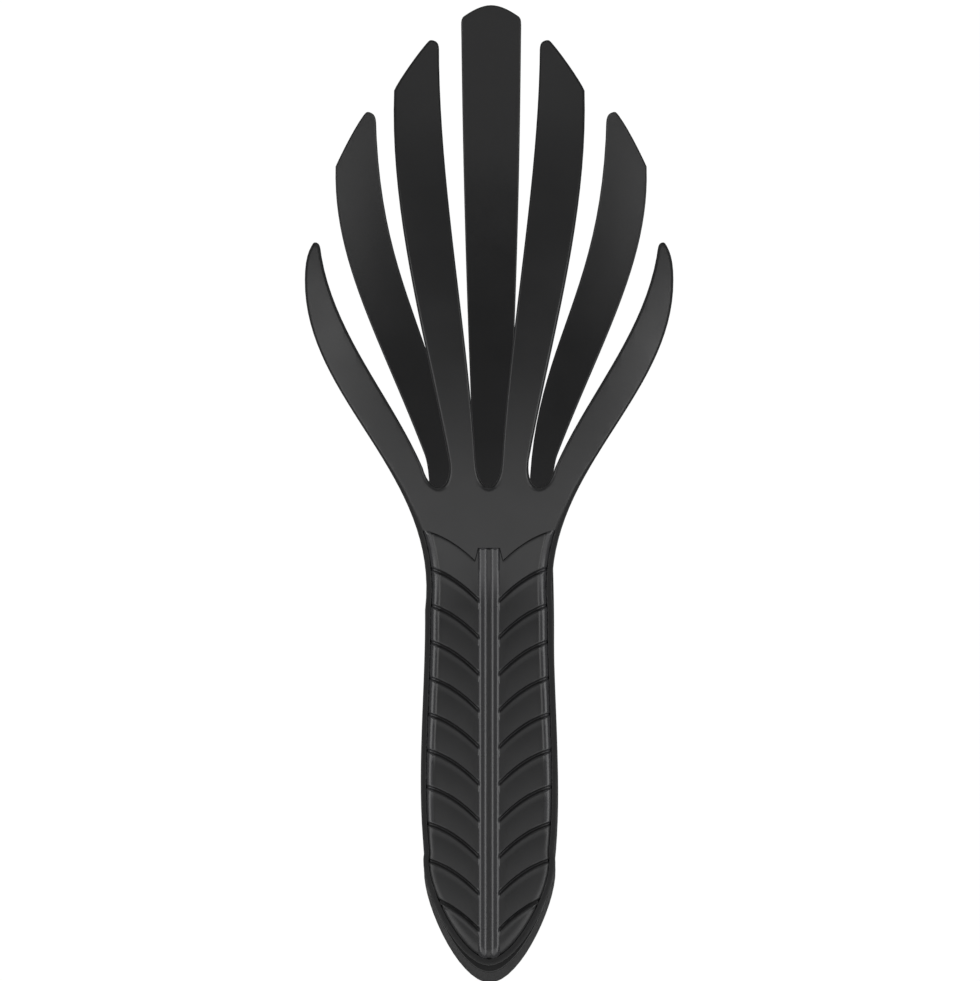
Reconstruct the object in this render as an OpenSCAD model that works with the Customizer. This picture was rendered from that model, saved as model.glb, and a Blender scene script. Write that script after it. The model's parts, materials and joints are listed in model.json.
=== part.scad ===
// Leaf grabber hands: two tined hands hinged at the closed end and held open by a coil spring.
// Each hand is built lying on its closing plane: X across, Y from the pin to the tips, Z outwards.
// The model stands on its back hand, with the origin where that palm rests.

/* [Handles] */
// From the pin to the tapered end of the front handle
butt_len = 27; // [25:0.5:32]
// How much further the back handle reaches
butt_extra = 2.2; // [0:0.1:3]
// Bluntness of the tapered end
butt_round = 9.7; // [7:0.1:12]
// Width across the handle just above the pin
hinge_w = 39.2; // [38:0.2:44]
// How far the handle's side swells in the middle
handle_swell = 2.5; // [0:0.1:4]
// Width at the neck
neck_w = 38.6; // [36:0.2:42]
// Distance from the pin to the neck
neck_y = 80; // [76:0.5:84]
// Depth of a handle from the closing plane to its outer face
handle_d = 17; // [16:0.5:20]
// Thickness of the handle's side walls
wall = 2.5; // [2:0.1:3]
// Thickness of the outer face, palm and tines
skin = 3; // [2.4:0.1:3.6]
// Width of a stiffening rib
rib_w = 1.5; // [1:0.1:2.5]
// Depth of a stiffening rib
rib_d = 5; // [3:0.5:7]
// Distance between stiffening ribs
rib_pitch = 14; // [11:0.5:18]

/* [Palms] */
// Radius of the hand along its length
palm_r = 190; // [180:1:210]
// Radius of the hand across its width
crown_r = 125; // [105:1:160]
// Distance from the pin to the highest point of the palm
palm_y = 154; // [150:0.5:158]
// Height of the palm above the closing plane
palm_h = 28; // [26:0.5:31]
// Radius of the hollow between handle and palm
neck_r = 60; // [45:1:75]
// Angle past the palm's highest point where the tines run out straight
tip_turn = 24; // [20:0.5:28]
// Distance from the pin to the bottoms of the slots
slot_y = 117; // [114:0.5:122]
// Rounding at slot bottoms and tips
corner_r = 2.2; // [1:0.1:3]

/* [Front tines] */
// Width across the two far tines
palm_w = 111; // [106:0.5:116]
// Distance from the pin to the far tines' widest point
far_y = 179.4; // [176:0.2:184]
// Length of the far tines' tips past their widest point
far_tip = 11.5; // [8:0.5:14]
// Gap between the two inner tines at their tips
inner_gap = 30.4; // [28:0.2:34]
// Width of an inner tine near its tip
inner_w = 13.5; // [10:0.1:15]
// Distance from the pin to the inner tines' tips
inner_y = 252; // [244:0.5:258]
// How far a tip is cut back across its width
tip_slant = 15.5; // [8:0.5:18]
// Width of the middle slot's bottom
mid_slot = 7.2; // [6:0.2:9]
// Width of the side slots' bottoms
side_slot = 7.4; // [6:0.2:9]
// Width of an inner tine at its root
inner_root = 7.4; // [6:0.2:9]

/* [Back tines] */
// Width of the middle tine near its tip
centre_w = 18.2; // [15:0.2:20]
// Width of the middle tine at its root
centre_root = 9.2; // [7:0.2:11]
// Distance from the pin to the middle tine's tip
centre_y = 271; // [262:0.5:278]
// Width across the two outer tines
outer_w = 94.2; // [88:0.2:98]
// Width of an outer tine near its tip
outer_tine = 12.2; // [9:0.2:14]
// Distance from the pin to the outer tines' tips
outer_y = 240; // [232:0.5:248]
// How far an outer tip is cut back across its width
outer_slant = 16.5; // [10:0.5:20]
// Width of the back slots' bottoms
back_slot = 7; // [6:0.2:9]

/* [Grips] */
// Thickness of a grip panel
grip_t = 2; // [1.6:0.1:2.4]
// How far a grip panel stands proud of the handle's face
grip_proud = 0.5; // [0.2:0.1:0.8]
// Border of bare handle beside a grip panel
grip_border = 1.6; // [1.2:0.1:2.4]
// Extra border at the tapered end
grip_toe = 3.4; // [2:0.1:5]
// Distance from the pin to the grip panel's top corners
grip_top = 104; // [98:0.5:106]
// Distance between leaf veins
vein_pitch = 11; // [9:0.5:14]
// How far a vein drops from the edge to the midrib
vein_drop = 10; // [7:0.5:12]
// Width of a vein groove
vein_w = 1; // [0.8:0.1:1.6]
// Depth of a vein groove
vein_d = 0.7; // [0.4:0.1:1]
// Width of the midrib
midrib_w = 5; // [4:0.2:7]

/* [Hinge] */
// Angle to which the spring opens the hands
open_angle = 16; // [12:0.5:18]
// Pin radius
pin_r = 2; // [1.5:0.1:2.5]
// Radius of the ears around the pin
ear_r = 6.5; // [6:0.1:7]
// Thickness of the front handle's inner ears
ear_t = 2.5; // [2:0.1:3]
// Distance from the middle to the inside of the back handle's ears
ear_x = 15; // [14.8:0.1:15.4]
// Washer thickness
washer_t = 0.5; // [0.3:0.1:0.8]
// Washer radius
washer_r = 4.5; // [4:0.1:5.5]
// Radius of the pin caps
cap_r = 3.4; // [3:0.1:4]
// Distance from the middle to the seat of a pin cap
cap_x = 17.3; // [17:0.1:17.6]
// Radius of the spring sleeve
sleeve_r = 4; // [3.4:0.1:4.3]
// Radius of the sleeve's collars
collar_r = 5.8; // [5.2:0.1:6.4]

/* [Spring] */
// Wire diameter
wire_d = 1.6; // [1.2:0.1:1.8]
// Mean radius of the coil
coil_r = 5.4; // [5.2:0.1:6]
// Whole turns in the coil
coil_turns = 4; // [3:1:5]
// Distance along the pin from turn to turn
coil_pitch = 1.8; // [1.8:0.05:2.2]
// Distance from the pin to the ends of the spring's legs
leg_y = 38; // [30:0.5:44]

/* [Fits] */
// Gap between the closed handles
rim_gap = 0.3; // [0.3:0.1:0.6]
// Gap between pieces that turn past each other
turn_gap = 0.3; // [0.3:0.05:0.5]
// Running clearance on the pin
run_fit = 0.05; // [0.02:0.01:0.1]
// Clearance of the pin in the ears that hold it
press_fit = 0.02; // [0:0.01:0.03]
// Clearance of seated pieces
seat_fit = 0.05; // [0.03:0.01:0.1]
// Depth of the flats on which the back hand rests
rest_cut = 0.4; // [0.2:0.05:0.6]

/* [Hidden] */
$fn = 96;

nylon = [0.13, 0.13, 0.135];
soft_black = [0.17, 0.17, 0.175];
steel = [0.62, 0.62, 0.64];
far = 400;
curve_steps = 10;
flank_steps = 16;
tip_steps = 4;

// the hand's outer surface: a flat handle, a hollow neck, a domed palm and straight tips
palm_z = palm_h - palm_r;
hollow_z = handle_d + neck_r;
hollow_turn = acos((hollow_z - palm_z) / (palm_r + neck_r));
hollow_y = palm_y - (palm_r + neck_r) * sin(hollow_turn);
mid_plane = rim_gap / 2;

// the pose in which the back hand rests on a table
back_len = butt_len + butt_extra;
heel_reach = norm([palm_y + back_len, palm_z - handle_d]);
lean = asin(palm_r / heel_reach) - atan2(handle_d - palm_z, palm_y + back_len);
hinge_h = palm_r - palm_y * sin(lean) + palm_z * cos(lean) - rest_cut;
rest_y = palm_y * cos(lean) + palm_z * sin(lean);

// places along the pin
inner_ear_x = ear_x - washer_t - turn_gap - ear_t;
sleeve_x = inner_ear_x - turn_gap;
coil_w = (coil_turns + 0.4) * coil_pitch;
leg_x = coil_w / 2;
collar_x = leg_x + wire_d / 2 + turn_gap;
collar_t = 1;
leg_z = handle_d - skin - wire_d / 2 - turn_gap;

function bezier(a, b, c, d, n = curve_steps) = [for (i = [0:n]) let (t = i / n, u = 1 - t)
    u * u * u * a + 3 * u * u * t * b + 3 * u * t * t * c + t * t * t * d];
function after(p) = [for (i = [1:len(p) - 1]) p[i]];
function backwards(p) = [for (i = [len(p) - 1:-1:0]) p[i]];
function mirrored(p) = [for (i = [len(p) - 1:-1:0]) [-p[i][0], p[i][1]]];
function both_sides(p) = concat(p, mirrored(p));
function unit(v) = v / max(norm(v), 0.0001);
function turn_at(p, i) = let (a = unit(p[i] - p[i - 1]), b = unit(p[i + 1] - p[i])) a * b;
// rounds the sharp corners of a path with short curves of the given reach
function rounded(p, r) = [for (i = [0:len(p) - 1])
    if (i == 0 || i == len(p) - 1 || turn_at(p, i) > 0.85) p[i]
    else let (back = min(r, 0.45 * norm(p[i] - p[i - 1])), ahead = min(r, 0.45 * norm(p[i + 1] - p[i])),
              a = p[i] + unit(p[i - 1] - p[i]) * back, b = p[i] + unit(p[i + 1] - p[i]) * ahead)
        each [for (t = [0:0.25:1]) (1 - t) * (1 - t) * a + 2 * (1 - t) * t * p[i] + t * t * b]];
// moves a path sideways to its left by d, and by more towards the tapered end
function inset(p, d, toe = 0) = [for (i = [0:len(p) - 1]) let (
    ahead = p[min(i + 1, len(p) - 1)], behind = p[max(i - 1, 0)],
    along = i == 0 ? [1, 0] : unit(ahead - behind),
    more = toe * max(0, -p[i][1] / butt_len))
    p[i] + [-along[1], along[0]] * (d + more)];

// the bends of the outline: how far a curve's control points stand from the end that each belongs to
side_y = 7;
butt_bend = [2.1, -9.3];
side_bend = 24;
neck_taper = 0.2;
flank_bend = [4.9, 41];
far_bend = [0.2, 36.3];
far_inside_bend = [9.4, 24.3];
far_tip_bend = [3.1, 27.1];
far_round = [1, 9];
far_rise = 6;
far_taper = [2.8, 4.5];
far_step = 0.6;
inner_bend = [6.7, 39];
inner_belly = [1.3, 40];
mid_bend = [2.2, 44.2];
mid_belly = [0.1, 44.7];
back_neck = [0.8, 22];
back_neck_bend = [3.1, 9];
outer_bend = [13, 35.5];
outer_belly = [0.9, 26.8];
outer_inside_bend = [-1, 55];
outer_inside_belly = [1.2, 55.3];
centre_bend = [2.6, 60];
centre_belly = [0.5, 50];
centre_drop = 3.6;
tip_flat = [2.6, 1];
tip_round = [1.3, 3];

// the right side of a handle, from the middle of its tapered end to the neck
function handle_side(length) = let (hip = [hinge_w / 2, side_y], neck = [neck_w / 2, neck_y]) concat(
    bezier([0, -length], [butt_round, -length], hip + butt_bend, hip),
    after(bezier(hip, hip + [handle_swell, side_bend], neck - [neck_taper, side_bend], neck)));
function front_flank() = let (neck = [neck_w / 2, neck_y], end = [palm_w / 2, far_y])
    after(bezier(neck, neck + [-flank_bend[0], flank_bend[1]], end + [far_bend[0], -far_bend[1]], end,
        flank_steps));
function back_flank() = let (
    neck = [neck_w / 2, neck_y], end = [neck_w / 2 + back_neck[0], slot_y + back_neck[1]])
    after(bezier(neck, neck + [0, side_bend], end - back_neck_bend, end));
// a tine's slanted tip, from its long side's end to the blunt point on its short side
function slanted_tip(from, point) = concat(
    bezier(from, from + [-tip_round[0], tip_round[1]], point + [tip_flat[0] + tip_round[1], -tip_round[1]],
        point + [tip_flat[0], 0], tip_steps), [point - [0, tip_flat[1]]]);

// one half of each hand's outline, slots and tines included
slot_side = slot_y + corner_r;
function front_half() = let (
    root_in = mid_slot / 2, root_out = root_in + inner_root, root_far = root_out + side_slot,
    tip_in = inner_gap / 2, tip_out = tip_in + inner_w,
    far_end = [palm_w / 2, far_y], far_top = far_end + [-far_taper[0], far_tip],
    far_inside = far_end + [-far_taper[1], far_tip - far_step], long_end = [tip_out, inner_y - tip_slant])
    rounded(concat(handle_side(butt_len), front_flank(),
        bezier(far_end, far_end + [0, far_rise], far_end + [-far_round[0], far_round[1]], far_top,
               tip_steps),
        backwards(bezier([root_far, slot_side], [root_far, slot_side] + far_inside_bend,
                         far_inside - far_tip_bend, far_inside)),
        [[root_far, slot_y], [root_out, slot_y]],
        bezier([root_out, slot_side], [root_out, slot_side] + inner_bend,
               long_end + [inner_belly[0], -inner_belly[1]], long_end),
        slanted_tip(long_end, [tip_in, inner_y]),
        backwards(bezier([root_in, slot_side], [root_in, slot_side] + mid_bend,
                         [tip_in, inner_y] - mid_belly, [tip_in, inner_y - tip_flat[1]])),
        [[root_in, slot_y]]), corner_r);
function back_half() = let (
    root_in = centre_root / 2, root_out = root_in + back_slot,
    tip_out = outer_w / 2, tip_in = tip_out - outer_tine,
    neck = [neck_w / 2 + back_neck[0], slot_y + back_neck[1]], long_end = [tip_out, outer_y - outer_slant],
    centre_end = [centre_w / 2, centre_y - centre_drop])
    rounded(concat(handle_side(back_len), back_flank(),
        bezier(neck, neck + outer_bend, long_end + [outer_belly[0], -outer_belly[1]], long_end),
        slanted_tip(long_end, [tip_in, outer_y]),
        backwards(bezier([root_out, slot_side], [root_out, slot_side] + outer_inside_bend,
                         [tip_in, outer_y] - outer_inside_belly, [tip_in, outer_y - tip_flat[1]])),
        [[root_out, slot_y], [root_in, slot_y]],
        bezier([root_in, slot_side], [root_in, slot_side] + centre_bend, centre_end - centre_belly,
               centre_end)), corner_r);

module front_plan() { polygon(both_sides(front_half())); }
module back_plan() { polygon(both_sides(concat(back_half(), [[0, centre_y]]))); }
module prism() { translate([0, 0, -far / 4]) linear_extrude(far / 2) children(); }
// a side profile drawn as (y, z), as wide as the hand
module across() { rotate([90, 0, 90]) translate([0, 0, -far / 4]) linear_extrude(far / 2) children(); }

// the line of the outer surface along the hand, d below it: handle, hollow, palm, straight tips
hollow_steps = 3;
palm_steps = 14;
function face_line(d) = let (
    palm = [for (i = [1:palm_steps]) let (a = -hollow_turn + (hollow_turn + tip_turn) * i / palm_steps)
        [palm_y + (palm_r - d) * sin(a), palm_z + (palm_r - d) * cos(a)]])
    concat([[-far / 6, handle_d - d], [hollow_y, handle_d - d]],
        [for (i = [1:hollow_steps]) let (a = hollow_turn * i / hollow_steps)
            [hollow_y + (neck_r + d) * sin(a), hollow_z - (neck_r + d) * cos(a)]],
        palm, [palm[palm_steps - 1] + far / 4 * [cos(tip_turn), -sin(tip_turn)]]);
// the drop of the surface towards the hand's sides
cross_steps = 5;
cross_spread = 1.3;
past_palm = 8;
function cross_x(i) = sign(i) * (palm_w / 2 + past_palm) * pow(abs(i) / cross_steps, cross_spread);
function crown_drop(x) = crown_r - sqrt(crown_r * crown_r - x * x);
// all that lies more than d below the hand's outer surface
module below(d) {
    line = face_line(d);
    n = len(line);
    wide = 2 * cross_steps + 1;
    floor_z = -far / 8;
    edge = cross_x(cross_steps);
    top = [for (p = line, i = [-cross_steps:cross_steps]) [cross_x(i), p[0], p[1] - crown_drop(cross_x(i))]];
    corners = [for (x = [-edge, edge], y = [line[0][0], line[n - 1][0]]) [x, y, floor_z]];
    at = n * wide;
    polyhedron(concat(top, corners), concat(
        [for (j = [0:n - 2], i = [0:wide - 2]) let (k = j * wide + i) [k, k + wide, k + wide + 1, k + 1]],
        [concat([for (j = [n - 1:-1:0]) j * wide], [at, at + 1])],
        [concat([for (j = [0:n - 1]) j * wide + wide - 1], [at + 3, at + 2])],
        [concat([for (i = [0:wide - 1]) i], [at + 2, at])],
        [concat([for (i = [wide - 1:-1:0]) (n - 1) * wide + i], [at + 1, at + 3])],
        [[at, at + 2, at + 3, at + 1]]));
}

// the side walls' rim: closed on the middle plane, relieved below the pin, fading out at the palm
wall_end = slot_y + 6;
rim_bend = 20;
rim_rise = [16, 18];
past_end = 10;
module wall_zone() {
    rim = mid_plane / cos(open_angle / 2);
    relief = (butt_len + past_end) * tan(open_angle / 2);
    end = [wall_end, palm_h - 2];
    across() polygon(concat([[-butt_len - past_end, rim + relief], [0, rim]],
        bezier([neck_y, mid_plane], [neck_y + rim_bend, mid_plane], end - rim_rise, end),
        [end + [0, past_end], [-butt_len - past_end, end[1] + past_end]]));
}

module cavity(side) { polygon(both_sides(inset(side, wall))); }

// a leaf vein runs level from the edge and bends down to the midrib
vein_reach = neck_w / 2;
vein_turn = 2 * atan(vein_drop / vein_reach);
vein_r = vein_reach / sin(vein_turn);
vein_count = floor((grip_top + butt_len - vein_drop) / vein_pitch);
function vein(y, r, to = 0) = [for (i = [0:curve_steps])
    let (a = (vein_turn - asin(to / vein_r)) * i / curve_steps)
    [vein_reach - r * sin(a), y - vein_r + r * cos(a)]];
module veins() {
    for (i = [1:vein_count - 1], s = [0, 1]) let (y = grip_top - i * vein_pitch) mirror([s, 0])
        polygon(concat([[far / 8, y + vein_w / 2]], vein(y, vein_r + vein_w / 2, midrib_w / 2),
            backwards(vein(y, vein_r - vein_w / 2, midrib_w / 2)), [[far / 8, y - vein_w / 2]]));
    translate([-vein_w / 2, -far / 8]) square([vein_w, far / 2]);
}
module grip_plan(side, clearance = 0) {
    intersection() {
        polygon(both_sides(inset(side, grip_border - clearance, grip_toe)));
        polygon(both_sides(concat([[0, -far / 8], [far / 8, -far / 8], [far / 8, grip_top + clearance]],
            vein(grip_top + clearance, vein_r))));
    }
}
grip_seat = grip_t - grip_proud;
module grip_pocket(side) {
    difference() {
        prism() grip_plan(side, seat_fit);
        below(grip_seat + seat_fit);
    }
}
module grip(side) {
    color(soft_black) difference() {
        intersection() { below(-grip_proud); prism() grip_plan(side); }
        below(grip_seat);
        difference() { prism() veins(); below(vein_d - grip_proud); }
    }
}

// a hand without its ears: skin, side walls, ribs and the recess for the grip panel
wall_root = 1;
rib_y = leg_y + 8;
rib_count = 3;
module hand_shell(side) {
    difference() {
        intersection() { below(0); prism() children(); }
        below(skin);
        grip_pocket(side);
    }
    intersection() {
        wall_zone();
        below(skin - wall_root);
        difference() { prism() children(); prism() cavity(side); }
    }
    intersection() {
        below(skin - wall_root);
        for (i = [0:rib_count - 1]) across() translate([rib_y + i * rib_pitch, handle_d - skin - rib_d])
            square([rib_w, rib_d + skin]);
        prism() polygon(both_sides(inset(side, wall / 2)));
    }
}

module along_pin(from, to, r) { translate([from, 0, 0]) rotate([0, 90, 0]) cylinder(r = r, h = to - from); }
module each_side() { for (s = [0, 1]) mirror([s, 0, 0]) children(); }

// two ribs under the face that hold a spring leg between them
saddle_t = 1.2;
saddle_len = 5;
module leg_saddle(x) {
    drop = wire_d + turn_gap + 1;
    for (s = [-1, 1]) translate([x + s * (wire_d / 2 + turn_gap + saddle_t / 2) - saddle_t / 2,
        leg_y - saddle_len - 1, handle_d - skin - drop]) cube([saddle_t, saddle_len, drop + wall_root]);
}

module as_back() { translate([0, -rest_y, hinge_h]) rotate([lean, 0, 0]) mirror([0, 0, 1]) children(); }
module as_front() { translate([0, -rest_y, hinge_h]) rotate([lean + open_angle, 0, 0]) children(); }
module at_hinge() { translate([0, -rest_y, hinge_h]) rotate([lean + open_angle / 2, 0, 0]) children(); }
module table() { translate([-far / 2, -far, -far]) cube([far, 2 * far, far]); }

module front_hand() {
    side = concat(handle_side(butt_len), front_flank());
    color(nylon) as_front() difference() {
        union() {
            difference() {
                hand_shell(side) front_plan();
                each_side() along_pin(ear_x - turn_gap, far / 8, ear_r + turn_gap);
            }
            intersection() {
                below(skin - wall_root);
                each_side() union() {
                    along_pin(inner_ear_x, inner_ear_x + ear_t, ear_r);
                    translate([inner_ear_x, -ear_r, 0]) cube([ear_t, 2 * ear_r, handle_d]);
                }
            }
            leg_saddle(leg_x);
        }
        along_pin(-far / 8, far / 8, pin_r + run_fit);
    }
}
module back_hand() {
    side = concat(handle_side(back_len), back_flank());
    color(nylon) difference() {
        as_back() difference() {
            union() {
                hand_shell(side) back_plan();
                intersection() {
                    prism() back_plan();
                    each_side() along_pin(ear_x, far / 8, ear_r);
                }
                leg_saddle(-leg_x);
            }
            along_pin(-far / 8, far / 8, pin_r + press_fit);
            each_side() along_pin(cap_x, far / 8, cap_r + seat_fit);
        }
        table();
    }
}
module front_grip() { as_front() grip(concat(handle_side(butt_len), front_flank())); }
module back_grip() {
    difference() {
        as_back() grip(concat(handle_side(back_len), back_flank()));
        color(soft_black) table();
    }
}
pin_chamfer = 0.3;
module hinge_pin() {
    end = cap_x - seat_fit;
    color(steel) at_hinge() rotate([0, 90, 0]) rotate_extrude() polygon([
        [0, -end], [pin_r - pin_chamfer, -end], [pin_r, -end + pin_chamfer],
        [pin_r, end - pin_chamfer], [pin_r - pin_chamfer, end], [0, end]]);
}
module pin_caps() {
    color(nylon) as_back() intersection() {
        prism() back_plan();
        each_side() along_pin(cap_x, far / 8, cap_r);
    }
}
module hinge_washers() {
    color(steel) at_hinge() each_side() difference() {
        along_pin(ear_x - washer_t, ear_x, washer_r);
        along_pin(0, far / 8, pin_r + run_fit);
    }
}
module spring_sleeve() {
    color(nylon) at_hinge() difference() {
        union() {
            along_pin(-sleeve_x, sleeve_x, sleeve_r);
            each_side() along_pin(collar_x, collar_x + collar_t, collar_r);
        }
        along_pin(-far / 8, far / 8, pin_r + run_fit);
    }
}

// the spring's wire: a leg on the back hand, the coil and a leg on the front hand
leg_reach = norm([leg_y, leg_z]);
leg_angle = atan2(leg_z, leg_y) + open_angle / 2;
leave_angle = leg_angle + acos(coil_r / leg_reach);
coil_turn = 360 * (coil_turns + 1) - 2 * leave_angle;
steps_per_turn = 20;
wire_sides = 8;
coil_steps = round(coil_turn / 360 * steps_per_turn);
function wire_point(x, r, a) = [x, r * cos(a), r * sin(a)];
wire_path = concat([wire_point(-leg_x, leg_reach, -leg_angle)],
    [for (i = [0:coil_steps]) let (t = i / coil_steps)
        wire_point((2 * t - 1) * leg_x, coil_r, -leave_angle - t * coil_turn)],
    [wire_point(leg_x, leg_reach, leg_angle)]);
module wire(path, r) {
    last = len(path) - 1;
    rings = [for (i = [0:last]) let (along = unit(path[min(i + 1, last)] - path[max(i - 1, 0)]),
        u = unit(cross(along, [1, 0, 0])), v = cross(along, u))
        each [for (k = [0:wire_sides - 1]) let (a = 360 * k / wire_sides)
            path[i] + r * (cos(a) * u + sin(a) * v)]];
    polyhedron(rings, concat([[for (k = [wire_sides - 1:-1:0]) k]],
        [for (i = [0:last - 1], k = [0:wire_sides - 1]) let (n = (k + 1) % wire_sides, at = i * wire_sides)
            [at + k, at + n, at + wire_sides + n, at + wire_sides + k]],
        [[for (k = [0:wire_sides - 1]) last * wire_sides + k]]));
}
module torsion_spring() { color(steel) at_hinge() wire(wire_path, wire_d / 2); }

front_hand();
back_hand();
front_grip();
back_grip();
hinge_pin();
pin_caps();
hinge_washers();
spring_sleeve();
torsion_spring();
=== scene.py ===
import json
import math
import bpy
import bmesh
from mathutils import Matrix, Vector


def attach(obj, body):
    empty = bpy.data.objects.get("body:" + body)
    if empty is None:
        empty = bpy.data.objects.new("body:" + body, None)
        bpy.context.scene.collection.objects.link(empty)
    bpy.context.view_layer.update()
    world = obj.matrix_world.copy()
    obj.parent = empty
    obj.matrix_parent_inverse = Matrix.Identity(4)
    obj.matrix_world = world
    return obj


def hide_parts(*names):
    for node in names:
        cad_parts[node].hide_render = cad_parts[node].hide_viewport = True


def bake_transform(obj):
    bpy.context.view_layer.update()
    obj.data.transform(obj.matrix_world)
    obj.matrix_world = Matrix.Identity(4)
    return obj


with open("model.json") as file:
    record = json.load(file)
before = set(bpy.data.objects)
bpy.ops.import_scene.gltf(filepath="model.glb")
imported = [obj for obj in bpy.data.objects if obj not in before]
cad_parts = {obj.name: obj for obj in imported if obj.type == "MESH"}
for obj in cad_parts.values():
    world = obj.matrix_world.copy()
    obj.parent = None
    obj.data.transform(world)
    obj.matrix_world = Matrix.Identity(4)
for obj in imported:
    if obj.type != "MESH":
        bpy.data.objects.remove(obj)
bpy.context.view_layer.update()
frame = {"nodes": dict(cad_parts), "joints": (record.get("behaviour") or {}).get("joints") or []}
hinge = frame["joints"][0]
mm = 0.001

# sizes of the two hands in millimetres, X across, Y from the pin to the tips, Z outwards
handSizes = {
    "buttLength": 27.0, "buttExtra": 2.2, "buttRound": 9.7, "hingeWidth": 39.2, "swell": 2.5,
    "neckWidth": 38.6, "neckY": 80.0, "depth": 17.0, "wall": 2.5, "skin": 3.0,
    "palmRadius": 190.0, "crownRadius": 125.0, "palmY": 154.0, "palmHeight": 28.0, "neckRadius": 60.0,
    "tipTurn": math.radians(24), "slotY": 117.0, "cornerRadius": 2.2, "wallFade": 6.0,
    "rimGap": 0.3, "sideY": 7.0, "openAngle": math.radians(hinge["range_deg"][1]),
}
frontSizes = {
    "palmWidth": 111.0, "farY": 179.4, "farTip": 11.5, "innerGap": 30.4, "innerWidth": 13.5,
    "innerY": 252.0, "tipSlant": 15.5, "midSlot": 7.2, "sideSlot": 7.4, "innerRoot": 7.4,
}
backSizes = {
    "centreWidth": 18.2, "centreRoot": 9.2, "centreY": 271.0, "centreDrop": 3.6, "outerWidth": 94.2,
    "outerTine": 12.2, "outerY": 240.0, "slot": 7.0, "tipSlant": 16.5,
}
hingeSizes = {
    "pinRadius": 2.0, "earRadius": 6.5, "earThickness": 2.5, "earX": 15.0, "washer": 0.5,
    "gap": 0.3, "capRadius": 3.4, "capX": 17.3, "runFit": 0.05,
}
s = handSizes

# where the surface changes from handle to hollow, palm and straight tips
palmZ = s["palmHeight"] - s["palmRadius"]
hollowZ = s["depth"] + s["neckRadius"]
hollowTurn = math.acos((hollowZ - palmZ) / (s["palmRadius"] + s["neckRadius"]))
hollowY = s["palmY"] - (s["palmRadius"] + s["neckRadius"]) * math.sin(hollowTurn)
tipStartY = s["palmY"] + s["palmRadius"] * math.sin(s["tipTurn"])
tipStartZ = palmZ + s["palmRadius"] * math.cos(s["tipTurn"])
wallEnd = s["slotY"] + s["wallFade"]
backLength = s["buttLength"] + s["buttExtra"]

# the back hand leans on its heel and palm
heelReach = math.hypot(s["palmY"] + backLength, palmZ - s["depth"])
lean = math.asin(s["palmRadius"] / heelReach) - math.atan2(s["depth"] - palmZ, s["palmY"] + backLength)
toHinge = Matrix.Translation(hinge["pos_m"])
toMetres = Matrix.Scale(mm, 4)
backPlace = toHinge @ Matrix.Rotation(lean, 4, "X") @ Matrix.Scale(-1, 4, (0, 0, 1)) @ toMetres
frontPlace = toHinge @ Matrix.Rotation(lean + s["openAngle"], 4, "X") @ toMetres
springPlace = toHinge @ Matrix.Rotation(lean + s["openAngle"] / 2, 4, "X") @ toMetres


def bezier(a, b, c, d, steps=10):
    points = []
    for i in range(steps + 1):
        t = i / steps
        u = 1 - t
        points.append(u**3 * Vector(a) + 3 * u * u * t * Vector(b) + 3 * u * t * t * Vector(c) + t**3 * Vector(d))
    return points


def roundCorners(path, reach):
    result = [path[0]]
    for i in range(1, len(path) - 1):
        before, corner, after = path[i - 1], path[i], path[i + 1]
        toBefore, toAfter = before - corner, after - corner
        if toBefore.length < 1e-6 or toAfter.length < 1e-6:
            continue
        if -toBefore.normalized().dot(toAfter.normalized()) > 0.85:
            result.append(corner)
            continue
        start = corner + toBefore.normalized() * min(reach, 0.45 * toBefore.length)
        end = corner + toAfter.normalized() * min(reach, 0.45 * toAfter.length)
        for k in range(5):
            t = k / 4
            result.append((1 - t) ** 2 * start + 2 * (1 - t) * t * corner + t * t * end)
    return result + [path[-1]]


def insetPath(path, distance, toe=0.0):
    result = []
    for i, point in enumerate(path):
        ahead, behind = path[min(i + 1, len(path) - 1)], path[max(i - 1, 0)]
        along = Vector((1, 0)) if i == 0 else (ahead - behind).normalized()
        more = toe * max(0.0, -point.y / s["buttLength"])
        result.append(point + Vector((-along.y, along.x)) * (distance + more))
    return result


def otherSide(path):
    return [Vector((-p.x, p.y)) for p in path if abs(p.x) > 1e-6]


def bothSides(path):
    return path + otherSide(reversed(path))


def handleSide(length, steps=16):
    hw, nw, sideY = s["hingeWidth"] / 2, s["neckWidth"] / 2, s["sideY"]
    low = bezier((0, -length), (s["buttRound"], -length), (hw + 2.1, -2.3), (hw, sideY), steps)
    high = bezier((hw, sideY), (hw + s["swell"], sideY + 24), (nw - 0.2, s["neckY"] - 24), (nw, s["neckY"]), steps)
    return low + high[1:]


def frontFlank():
    nw, pw, farY = s["neckWidth"] / 2, frontSizes["palmWidth"] / 2, frontSizes["farY"]
    return bezier((nw, s["neckY"]), (nw - 4.9, s["neckY"] + 41), (pw + 0.2, farY - 36.3), (pw, farY), 32)[1:]


def backFlank():
    nw, slotY = s["neckWidth"] / 2, s["slotY"]
    return bezier((nw, s["neckY"]), (nw, s["neckY"] + 24), (nw - 2.3, slotY + 13), (nw + 0.8, slotY + 22), 20)[1:]


def slotFloor(sideA, sideB):
    # the round bottom of a slot; each side is its wall's lowest two points
    a, b = sideA[1], sideB[1]
    ends = []
    for point, below in ((a, sideA[0]), (b, sideB[0])):
        drop = (point.y - s["slotY"]) * 4 / 3
        ends.append((point.x + 0.6 * drop * (below.x - point.x) / (point.y - below.y), point.y - drop))
    return bezier(a, ends[0], ends[1], b, 14)


def slantedTip(start, x, y):
    # from a tine's long side to the blunt point on its short side
    return bezier(start, (start[0] - 1.3, start[1] + 3), (x + 5.6, y - 3), (x + 2.6, y), 8)[1:] + [Vector((x, y - 1))]


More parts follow.
